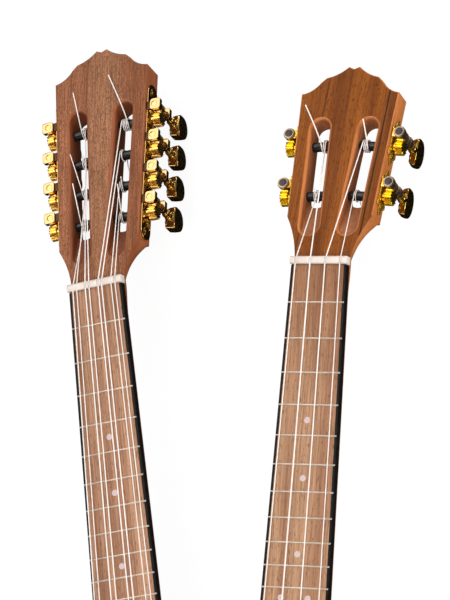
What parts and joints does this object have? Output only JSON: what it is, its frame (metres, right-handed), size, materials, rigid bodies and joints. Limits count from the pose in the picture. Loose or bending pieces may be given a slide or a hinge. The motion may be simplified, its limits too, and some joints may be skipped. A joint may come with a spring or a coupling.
{
  "type": "double-neck tenor ukulele",
  "caption": "Hollow wooden body with two spread necks, one for paired strings and one for single strings, and slotted heads with geared tuning machines.",
  "frame": {"origin": "on the flat back, at the middle of the body outline", "axes": "+Z out of the soundboard, +Y from the body towards the heads, +X towards the four-string neck"},
  "size_m": [0.3, 0.7098, 0.0899],
  "materials": {
    "black_roller": "gloss",
    "brace_wood": "matte",
    "bridge_wood": "satin",
    "fretboard_wood": "satin",
    "gold_metal": "polished",
    "mahogany_neck": "satin",
    "nut_bone": "satin",
    "string_nylon": "gloss",
    "walnut_body": "satin",
    "walnut_neck": "satin"
  },
  "bodies": {
    "instrument": {"soundboard": "walnut_body", "back": "walnut_body", "sides_with_linings": "walnut_body", "neck_block": "mahogany_neck", "tail_block": "mahogany_neck", "top_braces": "brace_wood", "back_braces": "brace_wood", "neck_eight_string": "mahogany_neck", "fretboard_eight_string": "fretboard_wood", "nut_eight_string": "nut_bone", "bridge_eight_string": "bridge_wood", "saddle_eight_string": "nut_bone", "string_eight_string_1": "string_nylon", "string_eight_string_2": "string_nylon", "string_eight_string_3": "string_nylon", "string_eight_string_4": "string_nylon", "string_eight_string_5": "string_nylon", "string_eight_string_6": "string_nylon", "string_eight_string_7": "string_nylon", "string_eight_string_8": "string_nylon", "tuner_plate_eight_string_left": "gold_metal", "tuner_plate_eight_string_right": "gold_metal", "neck_four_string": "walnut_neck", "fretboard_four_string": "fretboard_wood", "nut_four_string": "nut_bone", "bridge_four_string": "bridge_wood", "saddle_four_string": "nut_bone", "string_four_string_1": "string_nylon", "string_four_string_2": "string_nylon", "string_four_string_3": "string_nylon", "string_four_string_4": "string_nylon", "tuner_plate_four_string_left_1": "gold_metal", "tuner_plate_four_string_left_2": "gold_metal", "tuner_plate_four_string_right_1": "gold_metal", "tuner_plate_four_string_right_2": "gold_metal"},
    "worm_shaft_eight_string_left_1": {"worm_shaft_eight_string_left_1": "gold_metal"},
    "string_post_eight_string_left_1": {"string_post_eight_string_left_1": "black_roller"},
    "worm_shaft_eight_string_left_2": {"worm_shaft_eight_string_left_2": "gold_metal"},
    "string_post_eight_string_left_2": {"string_post_eight_string_left_2": "black_roller"},
    "worm_shaft_eight_string_left_3": {"worm_shaft_eight_string_left_3": "gold_metal"},
    "string_post_eight_string_left_3": {"string_post_eight_string_left_3": "black_roller"},
    "worm_shaft_eight_string_left_4": {"worm_shaft_eight_string_left_4": "gold_metal"},
    "string_post_eight_string_left_4": {"string_post_eight_string_left_4": "black_roller"},
    "worm_shaft_eight_string_right_1": {"worm_shaft_eight_string_right_1": "gold_metal"},
    "string_post_eight_string_right_1": {"string_post_eight_string_right_1": "black_roller"},
    "worm_shaft_eight_string_right_2": {"worm_shaft_eight_string_right_2": "gold_metal"},
    "string_post_eight_string_right_2": {"string_post_eight_string_right_2": "black_roller"},
    "worm_shaft_eight_string_right_3": {"worm_shaft_eight_string_right_3": "gold_metal"},
    "string_post_eight_string_right_3": {"string_post_eight_string_right_3": "black_roller"},
    "worm_shaft_eight_string_right_4": {"worm_shaft_eight_string_right_4": "gold_metal"},
    "string_post_eight_string_right_4": {"string_post_eight_string_right_4": "black_roller"},
    "worm_shaft_four_string_left_1": {"worm_shaft_four_string_left_1": "gold_metal"},
    "string_post_four_string_left_1": {"string_post_four_string_left_1": "black_roller"},
    "worm_shaft_four_string_left_2": {"worm_shaft_four_string_left_2": "gold_metal"},
    "string_post_four_string_left_2": {"string_post_four_string_left_2": "black_roller"},
    "worm_shaft_four_string_right_1": {"worm_shaft_four_string_right_1": "gold_metal"},
    "string_post_four_string_right_1": {"string_post_four_string_right_1": "black_roller"},
    "worm_shaft_four_string_right_2": {"worm_shaft_four_string_right_2": "gold_metal"},
    "string_post_four_string_right_2": {"string_post_four_string_right_2": "black_roller"}
  },
  "joints": [
    {"name": "button_turn_eight_string_left_1", "type": "hinge", "parent": "instrument", "child": "worm_shaft_eight_string_left_1", "pos_m": [-0.12857, 0.50806, 0.04837], "axis": [-0.0236, 0.2408, 0.9703], "continuous": true},
    {"name": "post_turn_eight_string_left_1", "type": "hinge", "parent": "instrument", "child": "string_post_eight_string_left_1", "pos_m": [-0.12097, 0.49948, 0.04182], "axis": [-0.9902, -0.1391, 0.0104], "continuous": true},
    {"name": "button_turn_eight_string_left_2", "type": "hinge", "parent": "instrument", "child": "worm_shaft_eight_string_left_2", "pos_m": [-0.12541, 0.48594, 0.05393], "axis": [-0.0236, 0.2408, 0.9703], "continuous": true},
    {"name": "post_turn_eight_string_left_2", "type": "hinge", "parent": "instrument", "child": "string_post_eight_string_left_2", "pos_m": [-0.11781, 0.47737, 0.04738], "axis": [-0.9902, -0.1391, 0.0104], "continuous": true},
    {"name": "button_turn_eight_string_left_3", "type": "hinge", "parent": "instrument", "child": "worm_shaft_eight_string_left_3", "pos_m": [-0.12224, 0.46383, 0.0595], "axis": [-0.0236, 0.2408, 0.9703], "continuous": true},
    {"name": "post_turn_eight_string_left_3", "type": "hinge", "parent": "instrument", "child": "string_post_eight_string_left_3", "pos_m": [-0.11464, 0.45525, 0.05295], "axis": [-0.9902, -0.1391, 0.0104], "continuous": true},
    {"name": "button_turn_eight_string_left_4", "type": "hinge", "parent": "instrument", "child": "worm_shaft_eight_string_left_4", "pos_m": [-0.11908, 0.44172, 0.06506], "axis": [-0.0236, 0.2408, 0.9703], "continuous": true},
    {"name": "post_turn_eight_string_left_4", "type": "hinge", "parent": "instrument", "child": "string_post_eight_string_left_4", "pos_m": [-0.11148, 0.43314, 0.05851], "axis": [-0.9902, -0.1391, 0.0104], "continuous": true},
    {"name": "button_turn_eight_string_right_1", "type": "hinge", "parent": "instrument", "child": "worm_shaft_eight_string_right_1", "pos_m": [-0.05083, 0.51568, 0.04837], "axis": [-0.0236, 0.2408, 0.9703], "continuous": true},
    {"name": "post_turn_eight_string_right_1", "type": "hinge", "parent": "instrument", "child": "string_post_eight_string_right_1", "pos_m": [-0.05662, 0.50579, 0.04182], "axis": [0.9984, 0.0559, 0.0104], "continuous": true},
    {"name": "button_turn_eight_string_right_2", "type": "hinge", "parent": "instrument", "child": "worm_shaft_eight_string_right_2", "pos_m": [-0.04964, 0.49337, 0.05393], "axis": [-0.0236, 0.2408, 0.9703], "continuous": true},
    {"name": "post_turn_eight_string_right_2", "type": "hinge", "parent": "instrument", "child": "string_post_eight_string_right_2", "pos_m": [-0.05543, 0.48348, 0.04738], "axis": [0.9984, 0.0559, 0.0104], "continuous": true},
    {"name": "button_turn_eight_string_right_3", "type": "hinge", "parent": "instrument", "child": "worm_shaft_eight_string_right_3", "pos_m": [-0.04845, 0.47106, 0.0595], "axis": [-0.0236, 0.2408, 0.9703], "continuous": true},
    {"name": "post_turn_eight_string_right_3", "type": "hinge", "parent": "instrument", "child": "string_post_eight_string_right_3", "pos_m": [-0.05424, 0.46118, 0.05295], "axis": [0.9984, 0.0559, 0.0104], "continuous": true},
    {"name": "button_turn_eight_string_right_4", "type": "hinge", "parent": "instrument", "child": "worm_shaft_eight_string_right_4", "pos_m": [-0.04726, 0.44876, 0.06506], "axis": [-0.0236, 0.2408, 0.9703], "continuous": true},
    {"name": "post_turn_eight_string_right_4", "type": "hinge", "parent": "instrument", "child": "string_post_eight_string_right_4", "pos_m": [-0.05305, 0.43887, 0.05851], "axis": [0.9984, 0.0559, 0.0104], "continuous": true},
    {"name": "button_turn_four_string_left_1", "type": "hinge", "parent": "instrument", "child": "worm_shaft_four_string_left_1", "pos_m": [0.04875, 0.48122, 0.05855], "axis": [0.0219, 0.2239, 0.9744], "continuous": true},
    {"name": "post_turn_four_string_left_1", "type": "hinge", "parent": "instrument", "child": "string_post_four_string_left_1", "pos_m": [0.05394, 0.47169, 0.05252], "axis": [-0.9988, 0.0471, 0.0117], "continuous": true},
    {"name": "button_turn_four_string_left_2", "type": "hinge", "parent": "instrument", "child": "worm_shaft_four_string_left_2", "pos_m": [0.04723, 0.4471, 0.06642], "axis": [0.0219, 0.2239, 0.9744], "continuous": true},
    {"name": "post_turn_four_string_left_2", "type": "hinge", "parent": "instrument", "child": "string_post_four_string_left_2", "pos_m": [0.05242, 0.43757, 0.06039], "axis": [-0.9988, 0.0471, 0.0117], "continuous": true},
    {"name": "button_turn_four_string_right_1", "type": "hinge", "parent": "instrument", "child": "worm_shaft_four_string_right_1", "pos_m": [0.12392, 0.47385, 0.05855], "axis": [0.0219, 0.2239, 0.9744], "continuous": true},
    {"name": "post_turn_four_string_right_1", "type": "hinge", "parent": "instrument", "child": "string_post_four_string_right_1", "pos_m": [0.11698, 0.46551, 0.05252], "axis": [0.989, -0.1478, 0.0117], "continuous": true},
    {"name": "button_turn_four_string_right_2", "type": "hinge", "parent": "instrument", "child": "worm_shaft_four_string_right_2", "pos_m": [0.11878, 0.44009, 0.06642], "axis": [0.0219, 0.2239, 0.9744], "continuous": true},
    {"name": "post_turn_four_string_right_2", "type": "hinge", "parent": "instrument", "child": "string_post_four_string_right_2", "pos_m": [0.11184, 0.43174, 0.06039], "axis": [0.989, -0.1478, 0.0117], "continuous": true}
  ],
  "couplings": [
    {"joint": "post_turn_eight_string_left_1", "follows": "button_turn_eight_string_left_1", "ratio": 0.071429},
    {"joint": "post_turn_eight_string_left_2", "follows": "button_turn_eight_string_left_2", "ratio": 0.071429},
    {"joint": "post_turn_eight_string_left_3", "follows": "button_turn_eight_string_left_3", "ratio": 0.071429},
    {"joint": "post_turn_eight_string_left_4", "follows": "button_turn_eight_string_left_4", "ratio": 0.071429},
    {"joint": "post_turn_eight_string_right_1", "follows": "button_turn_eight_string_right_1", "ratio": -0.071429},
    {"joint": "post_turn_eight_string_right_2", "follows": "button_turn_eight_string_right_2", "ratio": -0.071429},
    {"joint": "post_turn_eight_string_right_3", "follows": "button_turn_eight_string_right_3", "ratio": -0.071429},
    {"joint": "post_turn_eight_string_right_4", "follows": "button_turn_eight_string_right_4", "ratio": -0.071429},
    {"joint": "post_turn_four_string_left_1", "follows": "button_turn_four_string_left_1", "ratio": 0.071429},
    {"joint": "post_turn_four_string_left_2", "follows": "button_turn_four_string_left_2", "ratio": 0.071429},
    {"joint": "post_turn_four_string_right_1", "follows": "button_turn_four_string_right_1", "ratio": -0.071429},
    {"joint": "post_turn_four_string_right_2", "follows": "button_turn_four_string_right_2", "ratio": -0.071429}
  ]
}
